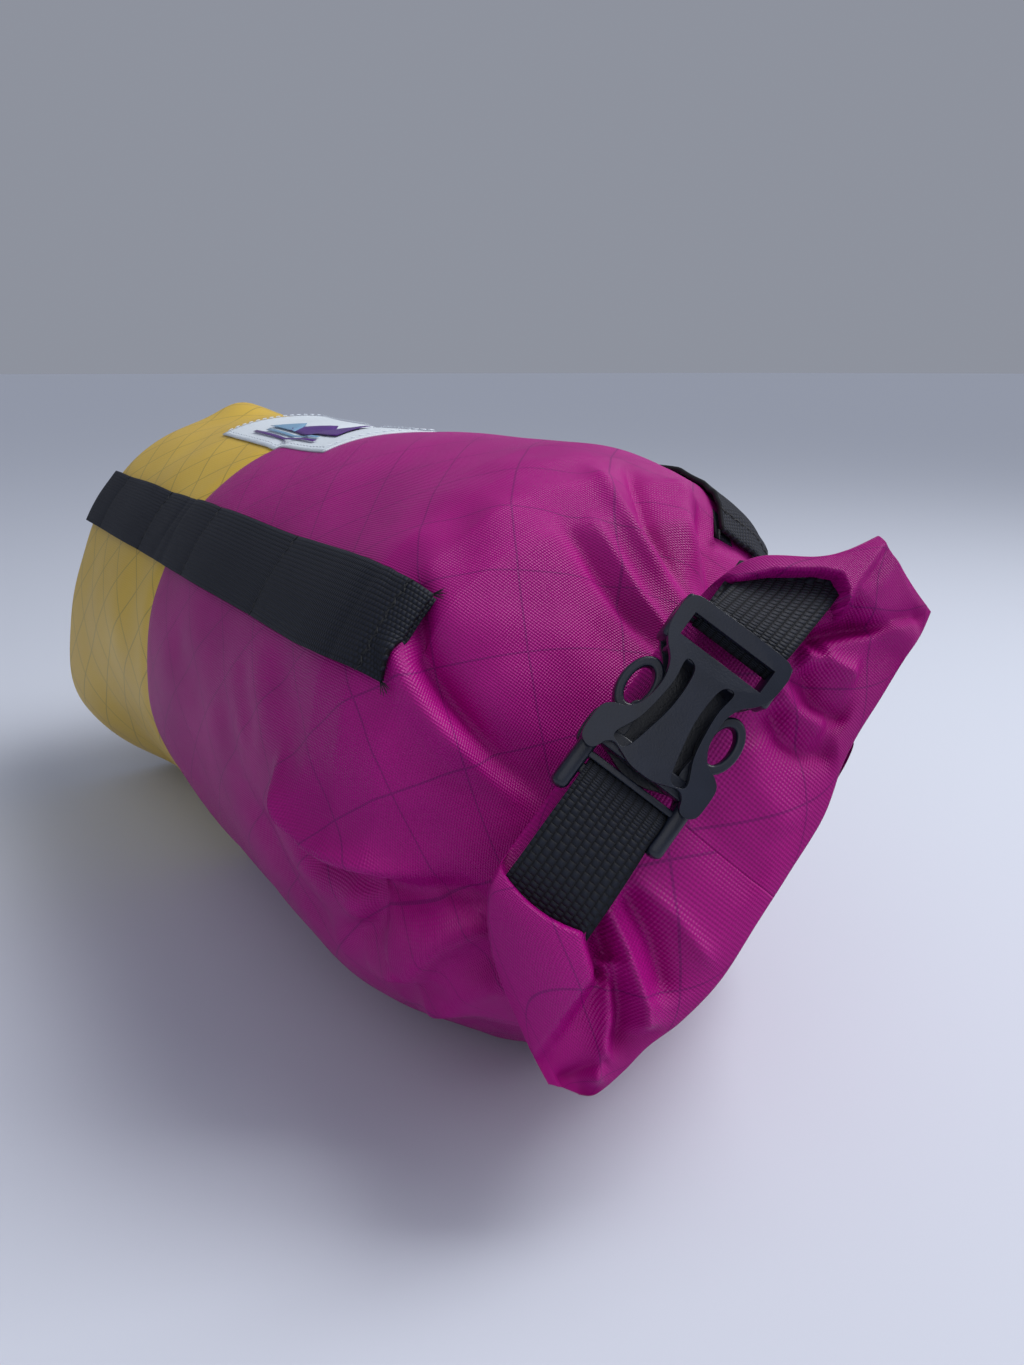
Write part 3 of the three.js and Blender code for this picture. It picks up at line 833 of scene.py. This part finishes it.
@dataclass
class DaisyChain:
    """One strip of ribbed webbing sewn down the body, with a tack at each loop's end."""

    body: FilledBody
    side: str
    angle: float
    end_x: float = 290.0
    width: float = 25.0
    thickness: float = 1.3
    tack_pitch: float = 64.7
    tacks: int = 5
    fold_back: float = 12.0

    def __post_init__(self) -> None:
        """Works out where the tacks are."""
        self.tack_x = [self.end_x - 5 - i * self.tack_pitch for i in range(self.tacks)]

    def loft(self, x: float) -> float:
        """How far the webbing stands off the cloth between two tacks, in mm."""
        turn = (self.tack_x[0] - x) / self.tack_pitch
        return 0.0 if turn < 0 else 1.3 * abs(math.sin(turn * math.pi)) ** 0.5

    def spot(self, x: float, across: float, lift: float) -> Vector:
        """A point over the strip's middle line, across it and lifted off the cloth, in mm."""
        degrees = across / self.body.frame.radius * 180 / math.pi
        angle = self.angle + degrees
        rest = sum(self.body.rise(at, self.angle + side * 7) for at in (x - 6, x + 6) for side in (-1, 1)) / 4
        own = max(rest, self.body.rise(x, angle) - 0.15)
        made = self.body.plain(x, angle) + self.body.outward(x, angle) * (own + lift)
        made.z = max(made.z, lift - self.body.frame.axis_height)
        return made

    def build(self) -> None:
        """Makes the strip, its folded end and its tacks."""
        length = self.end_x - 2

        def place(a: float, b: float) -> Vector:
            x = mix(2, self.end_x, a)
            edge = 0.35 * abs(b - 0.5) * 2
            tail = 1.1 * smooth(-15, -11, x - self.end_x)
            return self.spot(x, (b - 0.5) * self.width, 0.5 + self.loft(x) + tail - edge * 0.4)

        bm = cloth_grid((220, 14), place, flat(length, self.width))
        bmesh.ops.recalc_face_normals(bm, faces=bm.faces)
        if min(bm.faces, key=lambda f: f.calc_center_median().x).normal.dot(self.body.outward(60, self.angle)) < 0:
            bmesh.ops.reverse_faces(bm, faces=bm.faces)
        shade(bm)
        to_row = self.body.frame.to_row
        made = object_from(bm, f"daisy_chain_{self.side}_webbing", to_row, self.body.finishes.ribbed)
        thicken(made, self.thickness, 1.0)
        record(made, "sack", "black_webbing", "daisy_chain_" + self.side)
        self.build_fold()
        self.build_end_threads()
        for i, x in enumerate(self.tack_x):
            self.build_tack(i, x)

    def build_fold(self) -> None:
        """Makes the tail that is folded under at the near end."""
        def place(a: float, b: float) -> Vector:
            x = mix(self.end_x - self.fold_back, self.end_x + 0.3, a)
            return self.spot(x, (b - 0.5) * self.width * 0.985, 0.25)

        bm = cloth_grid((10, 10), place, flat(self.fold_back, self.width))
        bmesh.ops.recalc_face_normals(bm, faces=bm.faces)
        shade(bm)
        to_row = self.body.frame.to_row
        made = object_from(bm, f"daisy_chain_{self.side}_tail", to_row, self.body.finishes.ribbed)
        thicken(made, 1.1, 1.0)
        record(made, "sack", "black_webbing")

    def build_end_threads(self) -> None:
        """Makes the stitch line near the folded end and the yarns frayed out of its corners."""
        top = 0.5 + self.thickness + 1.1
        spots = []
        for i in range(9):
            across = mix(-0.46, 0.46, (i + 0.5) / 9) * self.width
            a = self.spot(self.end_x - 5, across - 1, top + 0.1)
            b = self.spot(self.end_x - 5, across + 1, top + 0.1)
            spots.append(((a + b) / 2, b - a, 2.0))
        bm = stitches(spots, 0.5)
        to_row = self.body.frame.to_row
        made = object_from(bm, f"daisy_chain_{self.side}_stitches", to_row, self.body.finishes.thread)
        record(made, "sack", "black_webbing")
        frayed = []
        for side in (-1, 1):
            corner = self.spot(self.end_x - 0.5, side * self.width * 0.49, 1.4)
            for i in range(7):
                lean = noise.noise(Vector((i * 1.7, side * 3.1, self.angle)))
                reach = self.spot(self.end_x + 1.8 + 2 * lean, side * (self.width * 0.49 + 1.2 + i * 0.35 - lean), 1.2 + i * 0.25)
                frayed.append(((corner + reach) / 2, reach - corner, (reach - corner).length))
        bm = stitches(frayed, 0.22)
        made = object_from(bm, f"daisy_chain_{self.side}_frayed_yarns", to_row, self.body.finishes.thread)
        record(made, "sack", "black_webbing")

    def build_tack(self, number: int, x: float) -> None:
        """Makes one tack: a zigzag of thread across the webbing."""
        top = 0.5 + self.thickness + (1.0 if number == 0 else 0) + 0.1
        count = 13
        spots = []
        for i in range(count):
            across = mix(-0.47, 0.47, i / (count - 1)) * self.width
            lean = 0.9 if i % 2 else -0.9
            a = self.spot(x - 0.4, across - lean, top)
            b = self.spot(x + 0.4, across + lean, top)
            spots.append(((a + b) / 2, b - a, (b - a).length * 1.1))
        bm = stitches(spots, 0.5)
        to_row = self.body.frame.to_row
        made = object_from(bm, f"tack_{self.side}_{number + 1}_thread", to_row, self.body.finishes.thread)
        record(made, "sack", "black_webbing", f"daisy_tack_{self.side}_{number + 1}")


@dataclass
class Label:
    """The woven label sewn over the panel seam, with a plain mountain figure."""

    body: FilledBody
    span_x: Point2 = (66.0, 171.0)
    span_angle: Point2 = (37.0, 67.0)
    thickness: float = 0.55

    def spot(self, a: float, b: float, lift: float) -> Vector:
        """A point of the label at two shares, lifted off the cloth."""
        x = mix(*self.span_x, a)
        angle = mix(*self.span_angle, b)
        return self.body.skin(x, angle, 0) + self.body.outward(x, angle) * (0.8 + lift)

    def build(self) -> None:
        """Makes the label, its figure and its stitching."""
        size = (self.span_x[1] - self.span_x[0], math.radians(self.span_angle[1] - self.span_angle[0]) * 85)
        finishes, to_row = self.body.finishes, self.body.frame.to_row
        bm = cloth_grid((48, 26), lambda a, b: self.spot(a, b, 0), flat(*size))
        bmesh.ops.recalc_face_normals(bm, faces=bm.faces)
        shade(bm)
        made = object_from(bm, "label_cloth", to_row, finishes.label)
        thicken(made, self.thickness, 1.0)
        record(made, "sack", "white_label", "label")
        peaks = ((0.34, 0.70), (0.48, 0.34), (0.54, 0.44), (0.64, 0.20), (0.82, 0.70))
        ridge = ((0.20, 0.70), (0.33, 0.48), (0.40, 0.58), (0.44, 0.70))
        self.build_figure("label_peaks", peaks, finishes.label_ink)
        self.build_figure("label_ridge", ridge, finishes.label_sky)
        for i, low in enumerate((0.83, 0.75)):
            band = ((0.20 + 0.05 * i, low), (0.78 - 0.05 * i, low), (0.78 - 0.05 * i, low + 0.035), (0.20 + 0.05 * i, low + 0.035))
            self.build_figure(f"label_band_{i + 1}", band, (finishes.label_ink, finishes.label_sky)[i])
        self.build_stitching(size)

    def build_figure(self, name: str, outline: Sequence[Point2], material: bpy.types.Material) -> None:
        """Makes one figure woven into the label, from its outline in shares of the label."""
        bm = bmesh.new()
        verts = [bm.verts.new((x, y, 0)) for x, y in outline]
        for a, b in zip(verts, verts[1:] + verts[:1]):
            bm.edges.new((a, b))
        bmesh.ops.triangle_fill(bm, use_beauty=True, use_dissolve=False, edges=bm.edges)
        bmesh.ops.subdivide_edges(bm, edges=bm.edges[:], cuts=5, use_grid_fill=True)
        layer = bm.loops.layers.uv.new("cut")
        for face in bm.faces:
            for loop in face.loops:
                loop[layer].uv = (loop.vert.co.x * 100, loop.vert.co.y * 45)
        for vert in bm.verts:
            vert.co = self.spot(vert.co.x, vert.co.y, self.thickness + 0.04)
        bmesh.ops.recalc_face_normals(bm, faces=bm.faces)
        if bm.faces[:][0].normal.dot(self.body.outward(self.span_x[0], self.span_angle[0])) < 0:
            bmesh.ops.reverse_faces(bm, faces=bm.faces)
        shade(bm)
        made = object_from(bm, name, self.body.frame.to_row, material)
        thicken(made, 0.12, 1.0)
        record(made, "sack", "white_label")

    def build_stitching(self, size: Point2) -> None:
        """Makes the row of stitches round the label, 2 mm in from its edge."""
        inset = (2 / size[0], 2 / size[1])
        corners = [(inset[0], inset[1]), (1 - inset[0], inset[1]), (1 - inset[0], 1 - inset[1]), (inset[0], 1 - inset[1])]
        spots = []
        for a, b in zip(corners, corners[1:] + corners[:1]):
            length = math.hypot((b[0] - a[0]) * size[0], (b[1] - a[1]) * size[1])
            count = round(length / 3)
            for i in range(count):
                ends = [
                    self.spot(mix(a[0], b[0], t), mix(a[1], b[1], t), self.thickness + 0.05)
                    for t in ((i + 0.15) / count, (i + 0.85) / count)
                ]
                spots.append(((ends[0] + ends[1]) / 2, ends[1] - ends[0], 2.1))
        bm = stitches(spots, 0.4)
        made = object_from(bm, "label_stitches", self.body.frame.to_row, self.body.finishes.white_thread)
        record(made, "sack", "white_label")


# --- The rolled mouth ----------------------------------------------------------------------------------------------


@dataclass
class RolledMouth:
    """The mouth rolled down and folded back at both ends over the buckle webbing.

    The roll is drawn in the mouth's frame between an upper and a lower outline, with a front height at each spot.
    """

    frame: SackFrame
    finishes: Finishes
    closure: Matrix
    # Along the mouth, up its slope, and the height of the rim's fold.
    upper: tuple[tuple[float, float, float], ...] = (
        (-74, -24.5, -10), (-69, -14, -7.5), (-60.4, 0.3, -5), (-52, 8.5, -3), (-46, 11, -3.5), (-36, 11, -11),
        (-20, 11, -11.5), (-4, 11, -11.5), (12, 11, -11.5), (27, 10.5, -11), (36, 9.5, -7), (43.4, 5.8, -3.2),
        (51.3, -4.4, -2.8), (57.2, -9.2, -3.6), (65, -13.2, -5.5),
    )
    lower: tuple[tuple[float, float, float], ...] = (
        (-72, -31, -11), (-69.9, -34.2, -12), (-63, -36.5, -13), (-55.6, -38, -13.5), (-47, -41, -14), (-35, -43, -14),
        (-20, -42.6, -14), (-6.6, -42.2, -14), (8, -41.5, -14), (20, -38.5, -14), (28, -37.3, -13.5),
        (38, -36.8, -13), (47, -36, -12), (55, -35.5, -11), (60.6, -34.2, -10),
    )
    folds: tuple[Fold, ...] = (
        Fold(((-47.5, -20), (-53, -19), (-63, -16.5)), -4.6, 2.0, FoldKind.SHARP, 0.15),
        Fold(((-46, -19), (-48, -21), (-54, -26), (-62, -30), (-70, -33)), 5.0, 2.2, FoldKind.SHARP, 0.1),
        Fold(((-39, -9), (-43, -15), (-49, -24), (-55, -29.5), (-63, -33)), -5.0, 2.2, FoldKind.SHARP, 0.2),
        Fold(((-36, -9), (-42, -21), (-49, -32), (-54, -36)), 6.0, 2.6, FoldKind.SHARP, 0.15),
        Fold(((-31, -12), (-37, -25), (-46, -37)), -4.0, 3.0, FoldKind.SHARP, 0.2),
        Fold(((-29, -12), (-30, -26), (-34, -42)), 2.0, 2.4, FoldKind.SHARP, 0.2),
        Fold(((-73, -26), (-69, -28), (-62, -32)), -2.4, 1.6, FoldKind.SHARP, 0.1),
        Fold(((36, -13.5), (45, -20.5), (52, -27), (60, -33.5)), -5.5, 2.0, FoldKind.SHARP, 0.1),
        Fold(((37, -17), (47, -26), (57, -33.5)), 3.2, 2.6, FoldKind.SHARP, 0.1),
        Fold(((50, -14), (56, -16.5), (64, -15)), -3.4, 1.5, FoldKind.SHARP, 0.1),
        Fold(((51, -17), (57, -20), (65, -20)), 2.4, 2.6, FoldKind.ROUND, 0.1),
        Fold(((66, -14), (61, -26), (59, -33)), 1.8, 1.8, FoldKind.SHARP, 0.1),
        Fold(((33, -15), (36, -21), (38, -30)), 4.6, 3.0, FoldKind.SHARP, 0.15),
        Fold(((32, -17), (27.5, -25), (29, -34)), -3.6, 2.6, FoldKind.SHARP, 0.15),
        Fold(((26, -13), (22.5, -22), (24, -31)), 3.2, 3.0, FoldKind.ROUND, 0.15),
        Fold(((21, -16), (16.5, -24), (17, -30), (22, -36)), -3.6, 3.0, FoldKind.SHARP, 0.15),
        Fold(((12, -16), (4, -26), (0, -38)), 1.2, 5.0, FoldKind.ROUND, 0.15),
        Fold(((-8, -14), (-12, -26), (-14, -40)), -1.2, 5.0, FoldKind.ROUND, 0.15),
    )
    halfway: float = -5.0

    def front(self, m: float, v: float) -> float:
        """The height of the roll's front at a spot, from the buckle's middle plane."""
        base = mix(-9.2, -12.5, smooth(8, -36, v))
        height = base + sum(fold.rise((m, v)) for fold in self.folds)
        # The left end is a hood over the webbing: high at its lip, and falling towards its tip.
        lip = -46.3 + 2.0 * (v / 10) ** 2
        edge = mix(-11.5, -19.5, smooth(-44, -52, m))
        hood = smooth(lip + 0.8, lip - 0.8, m) * smooth(edge - 2.5, edge + 2.5, v)
        crown = mix(1.6, -7.5, smooth(-45, -73, m)) - 1.6 * ((v + mix(0, 14, smooth(-45, -70, m))) / 11) ** 2
        height = mix(height, crown, hood)
        # The right end is a narrow lip over the webbing that widens into a flat corner.
        away, share, side = gap_to_path(((34, 7.5), (42, 1.2), (49, -7), (51, -11), (49, -13.6)), (m, v))
        band = smooth(-0.6, 0.9, away * side) * smooth(33.5, 36.5, m)
        height = mix(height, mix(0.2, -2.4, smooth(36, 62, m)), band * smooth(-19, -15, v))
        corner = smooth(47, 53, m) * smooth(-14, -18, v)
        return mix(height, mix(-2.6, -8.5, smooth(-14, -34, v)), corner * 0.7)

    def skin(self, share: float, turn: float) -> Vector:
        """A point of the roll at a share of its length and a turn round its section."""
        high, low = rounded_path(self.upper, share), rounded_path(self.lower, share)
        t = (1 - math.cos(turn * math.tau)) / 2
        m, v = mix(high[0], low[0], t), mix(high[1], low[1], t)
        ends = smooth(0, 0.07, share) * smooth(0, 0.05, 1 - share)
        round_off = abs(math.sin(turn * math.tau)) ** 0.5
        rim = mix(high[2], low[2], t)
        if turn < 0.5:
            face = self.front(m, v)
            return Vector((m, v, mix(rim, face, round_off * mix(0.75, 1, ends))))
        back = mix(rim - 2.5, -21.5, ends)
        return Vector((m, v, mix(rim, back, round_off)))

    def build(self) -> None:
        """Makes the roll's two halves and dresses the stiffener in it."""
        split = 0.463
        self.build_half("mouth_roll_left", 0.0, split, "left_end", ("roll_centre", "roll_end_left"))
        self.build_half("mouth_roll_right", split, 1.0, "right_end", ("roll_end_right",))
        strip = box((-32, -30, -18.2), (26, -10, -17.4), 0.3)
        stiffener = object_from(strip, "stiffener_strip", self.frame.to_row @ self.closure, self.finishes.sheet)
        record(stiffener, "sack", "stiffener_sheet", "mouth_stiffener")

    def build_half(self, name: str, start: float, end: float, body: str, nodes: tuple[str, ...]) -> None:
        """Makes one half of the roll.

        Args:
            name: The piece's name.
            start: The share of the roll's length where it starts.
            end: The share where it ends.
            body: The end this half belongs to, left_end or right_end; the half is not attached to it, and the reach
                worked out from it is not used.
            nodes: The nodes that it replaces.
        """
        bm = cloth_grid((150, 150), lambda a, b: self.skin(mix(start, end, a), b), flat(140 * (end - start), 112))
        bmesh.ops.remove_doubles(bm, verts=bm.verts, dist=0.01)
        open_edges = [edge for edge in bm.edges if edge.is_boundary]
        caps = bmesh.ops.holes_fill(bm, edges=open_edges, sides=0)["faces"]
        bmesh.ops.recalc_face_normals(bm, faces=bm.faces)
        shade(bm)
        for cap in caps:
            cap.smooth = False
        made = object_from(bm, name, self.frame.to_row @ self.closure, self.finishes.ripstop)
        reach = {"left_end": (-22.0, -42.0), "right_end": (12.0, 32.0)}[body]
        ends = [self.frame.to_row @ self.closure @ Vector((m, 0, -12)) for m in reach]
        tuple(ends[0])
        tuple(ends[1])
        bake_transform(made)
        record(made, None, "magenta_ripstop", *nodes)


# --- Buckle and its webbing ----------------------------------------------------------------------------------------


@dataclass
class Buckle:
    """The 20 mm side-release buckle, clipped shut, in the mouth's frame."""

    to_row: Matrix
    finishes: Finishes
    half_thick: float = 4.3
    skin: float = 1.7
    mouth: tuple[Point2, ...] = (
        (-12.2, 0), (-12.0, 3), (-10.9, 6), (-10.2, 8.2), (-11.2, 9.8), (-13.4, 10.8), (-14, 12.6), (-12.6, 14.6),
        (-9, 15), (-5.4, 14.7), (-3.6, 13), (-2.6, 10.6), (-0.4, 8.7), (3.4, 7.7), (7.4, 7.7), (11, 9.0),
        (13.6, 11.4), (16.4, 13.1), (20, 13.7), (23.6, 13.6), (25.7, 11.8), (25.9, 6), (25.9, 0),
    )
    slot: tuple[Point2, ...] = (
        (-9.4, 5.6), (-3, 3.9), (3, 2.9), (9, 2.9), (12.6, 3.8), (12.9, 6.2), (8, 5.7), (3, 6.0), (-3, 7.0),
        (-8.2, 9.2), (-9.8, 8.0),
    )
    webbing_slot: tuple[Point2, ...] = ((16.6, -10.4), (22.3, -10.4), (22.3, 10.4), (16.6, 10.4))
    ring_centre: Point2 = (3.2, 10.7)
    ring_size: Point2 = (6.9, 4.4)
    ring_hole: Point2 = (4.6, 2.4)
    rail: Point2 = (10.3, 14.0)
    rail_end: float = -24.2
    bar: float = -18.0

    def build(self) -> None:
        """Makes the two halves and the two prongs."""
        record(self.female(), "right_end", "black_acetal", "buckle_female")
        record(self.male(), "left_end", "black_acetal", "buckle_male")
        for side, name in ((1, "left"), (-1, "right")):
            made = self.prong(side, name)
            record(made, f"{name}_prong", "black_acetal", "prong_" + name)

    def female(self) -> bpy.types.Object:
        """The half that receives: two plates, its side walls, and the frame for the webbing."""
        outline = closed_curve(mirrored(self.mouth))
        slots = [closed_curve(self.slot), closed_curve([(x, -y) for x, y in reversed(self.slot)])]
        top = self.half_thick
        front = plate(outline, [*slots, self.webbing_slot], top - self.skin, top, 0.55)
        lower = [(x - 1.2 if x < -9 and abs(y) < 9 else x, y) for x, y in self.mouth]
        back = plate(closed_curve(mirrored(lower)), [self.webbing_slot], -top, self.skin - top, 0.5)
        walls = [
            box((-13.2, side * 12.9 - 1.4, -top + 0.3), (-5.4, side * 12.9 + 1.4, top - 0.3), 0.6) for side in (-1, 1)
        ]
        posts = [
            box((14.6, side * 12 - 1.7, -top + 0.25), (25.6, side * 12 + 1.7, top - 0.25), 0.9) for side in (-1, 1)
        ]
        wall = box((12.9, -10.9, -top + 0.3), (16.4, 10.9, top - 0.3), 0.5)
        bar = box((22.5, -10.8, -1.1), (24.8, 10.8, 1.1), 0.6)
        made = joined(front, back, *walls, *posts, wall, bar)
        # The front crowns a little along its middle.
        for vert in made.verts:
            if vert.co.z > 1:
                vert.co.z += 0.35 - 0.9 * (vert.co.y / 15) ** 2
        return object_from(made, "buckle_female_moulding", self.to_row, self.finishes.acetal)

    def male(self) -> bpy.types.Object:
        """The half that clips in: two rails, the bar for the webbing, a cross wall, and a guide tongue."""
        inner, outer = self.rail
        rails = [
            box((self.rail_end, min(side * inner, side * outer), -2.7), (-9, max(side * inner, side * outer), 2.7), 1.4)
            for side in (-1, 1)
        ]
        bar = box((self.bar - 1.1, -inner - 0.6, -1), (self.bar + 1.1, inner + 0.6, 1), 0.5)
        wall = box((-15.5, -inner - 0.5, -1.6), (-14.0, inner + 0.5, 1.9), 0.35)
        root = box((-11.6, -12, -2), (-7.4, 12, 2), 0.5)
        tongue = box((-9, -2.3, -1.6), (11.5, 2.3, 1.6), 0.6)
        made = joined(*rails, bar, wall, root, tongue)
        return object_from(made, "buckle_male_moulding", self.to_row, self.finishes.acetal)

    def prong(self, side: int, name: str) -> bpy.types.Object:
        """One sprung prong: an arm from the root to an open ring that the thumb presses."""
        ring = [(math.cos(i / 36 * math.tau), math.sin(i / 36 * math.tau)) for i in range(36)]
        x, y = self.ring_centre
        outer = [(x + a * self.ring_size[0], y + b * self.ring_size[1]) for a, b in ring]
        hole = [(x + a * self.ring_hole[0], y + b * self.ring_hole[1]) for a, b in ring]
        made = joined(
            plate(outer, [hole], -1.9, 1.9, 0.6),
            plate(closed_curve(((-7.2, 7.0), (-2, 7.4), (0.6, 8.2), (-0.6, 9.8), (-4, 9.4), (-7.2, 9.2))), [], -1.6, 1.6, 0.4),
        )
        bmesh.ops.scale(made, vec=(1, side, 1), verts=made.verts)
        if side < 0:
            bmesh.ops.reverse_faces(made, faces=made.faces)
        return object_from(made, f"prong_{name}_moulding", self.to_row, self.finishes.acetal)


@dataclass
class BuckleStrap:
    """A loop of plain webbing round a bar of the buckle, both tails sewn into the roll's end."""

    to_row: Matrix
    finishes: Finishes
    name: str
    body: str
    path: tuple[tuple[float, float, float], ...]
    # Where the loop goes under the roll's fold at each of its edges, as places along the mouth.
    tuck: Point2
    width: float = 20.0
    thickness: float = 1.25

    def build(self) -> None:
        """Makes the loop. Its path runs along the mouth, out of the face, and sideways."""
        pairs = [(m, n) for m, n, _ in self.path]
        slides = [(i, v) for i, (_, _, v) in enumerate(self.path)]
        lengths = [0.0]
        count = 120
        spots = [rounded_path(pairs, i / count) for i in range(count + 1)]
        for a, b in zip(spots, spots[1:]):
            lengths.append(lengths[-1] + math.dist(a, b))

        def place(a: float, b: float) -> Vector:
            m, n = rounded_path(pairs, a)
            slide = along(slides, a * (len(self.path) - 1))[0]
            across = b - 0.5
            start, full = self.path[len(self.path) // 2][0], self.path[0][0]
            m = start + (m - start) * (mix(*self.tuck, b) - start) / (full - start) if abs(m) > abs(start) + 4 else m
            return Vector((m, slide + across * self.width, n - 0.25 * abs(across * 2) ** 6))

        bm = cloth_grid((count, 14), place, flat(lengths[-1], self.width))
        bmesh.ops.recalc_face_normals(bm, faces=bm.faces)
        shade(bm)
        made = object_from(bm, self.name + "_webbing", self.to_row, self.finishes.plain)
        thicken(made, self.thickness, 0.0)
        record(made, self.body, "black_webbing", self.name)


# --- Studio --------------------------------------------------------------------------------------------------------


@dataclass
class Studio:
    """The floor, the lights and the camera."""

    frame: SackFrame
    camera_spot: tuple[float, float, float] = (489.6, -161.9, 104.8)
    forward: tuple[float, float, float] = (-0.8083, 0.5119, -0.2907)
    right: tuple[float, float, float] = (0.535, 0.8447, 0.0)
    lens: float = 27.09
    ceiling_power: float = 0.8
    lights: tuple[tuple[str, tuple[float, float, float], float, float], ...] = field(
        default=(
            ("key", (0.30, 0.55, 1.05), 0.6, 9.0),
            ("fill", (0.9, -0.7, 0.8), 1.2, 2.6),
        )
    )

    def build(self) -> None:
        """Makes the floor, the lights and the camera."""
        bm = bmesh.new()
        bmesh.ops.create_grid(bm, x_segments=2, y_segments=2, size=60)
        floor = object_from(bm, "studio_floor", Matrix.Identity(4), self.floor_finish())
        for name, spot, size, power in self.lights:
            light = bpy.data.lights.new(name, "AREA")
            light.size, light.energy = size, power
            lamp = bpy.data.objects.new(name, light)
            lamp.location = spot
            lamp.rotation_euler = (Vector((0, 0, 0.08)) - Vector(spot)).to_track_quat("-Z", "Y").to_euler()
            bpy.context.scene.collection.objects.link(lamp)
        ceiling = bpy.data.lights.new("ceiling", "SUN")
        ceiling.energy, ceiling.angle = self.ceiling_power, math.radians(50)
        lamp = bpy.data.objects.new("ceiling", ceiling)
        lamp.rotation_euler = Vector((0.55, 0.75, 1)).to_track_quat("Z", "Y").to_euler()
        bpy.context.scene.collection.objects.link(lamp)
        world = bpy.data.worlds.new("studio")
        world.use_nodes = True
        world.node_tree.nodes["Background"].inputs[0].default_value = linear("#D2D8E8")
        world.node_tree.nodes["Background"].inputs[1].default_value = 0.42
        bpy.context.scene.world = world
        bpy.context.scene.view_settings.view_transform = "Standard"
        camera = bpy.data.cameras.new("camera")
        camera.lens, camera.sensor_width = self.lens, 36
        camera.clip_start = 0.01
        holder = bpy.data.objects.new("camera", camera)
        back = -Vector(self.forward).normalized()
        side = Vector(self.right).normalized()
        turn = Matrix((side, back.cross(side), back)).transposed().to_4x4()
        holder.matrix_world = Matrix.Translation(self.frame.to_row @ Vector(self.camera_spot)) @ turn
        bpy.context.scene.collection.objects.link(holder)
        bpy.context.scene.camera = holder

    @staticmethod
    def floor_finish() -> bpy.types.Material:
        """A plain pale matt floor."""
        material = bpy.data.materials.new("pale studio floor")
        material.use_nodes = True
        shader = material.node_tree.nodes["Principled BSDF"]
        shader.inputs["Base Color"].default_value = linear("#CDD2DE")
        shader.inputs["Roughness"].default_value = 0.8
        return material


def main() -> None:
    """Builds the sack around its frame, piece by piece."""
    logging.basicConfig(level=logging.INFO, format="%(message)s")
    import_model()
    frame = SackFrame()
    Studio(frame).build()
    finishes = Finishes()
    body = FilledBody(frame, finishes)
    body.build()
    DaisyChain(body, "left", 98.3).build()
    DaisyChain(body, "right", 8.0).build()
    Label(body).build()
    closure = ClosureFrame().matrix()
    RolledMouth(frame, finishes, closure).build()
    to_row = frame.to_row @ closure
    Buckle(to_row, finishes).build()
    left_path = (
        (-51, -6.5, -1), (-47, -3.6, -0.8), (-40, -0.9, -0.6), (-30, 1.0, -0.3), (-22, 1.9, -0.2), (-18, 1.9, -0.2),
        (-16.2, 0.9, -0.2), (-16.1, -0.8, -0.3), (-18, -1.9, -0.4), (-24, -2.9, -1.4), (-36, -5.2, -2.4), (-49, -9, -3.4),
    )
    right_path = (
        (50, -7.5, -4.4), (44, -4.6, -3.8), (36, -1.2, -2.6), (29, 1.8, -1.6), (24.5, 2.0, -1.0),
        (21.9, 0.9, -1.0), (21.8, -0.8, -1.0), (24.5, -2.0, -1.0), (34, -3.8, -1.4), (53, -8.5, -2),
    )
    BuckleStrap(to_row, finishes, "strap_left", "left_end", left_path, (-51, -50)).build()
    BuckleStrap(to_row, finishes, "strap_right", "right_end", right_path, (51, 40)).build()


if __name__ == "__main__":
    main()
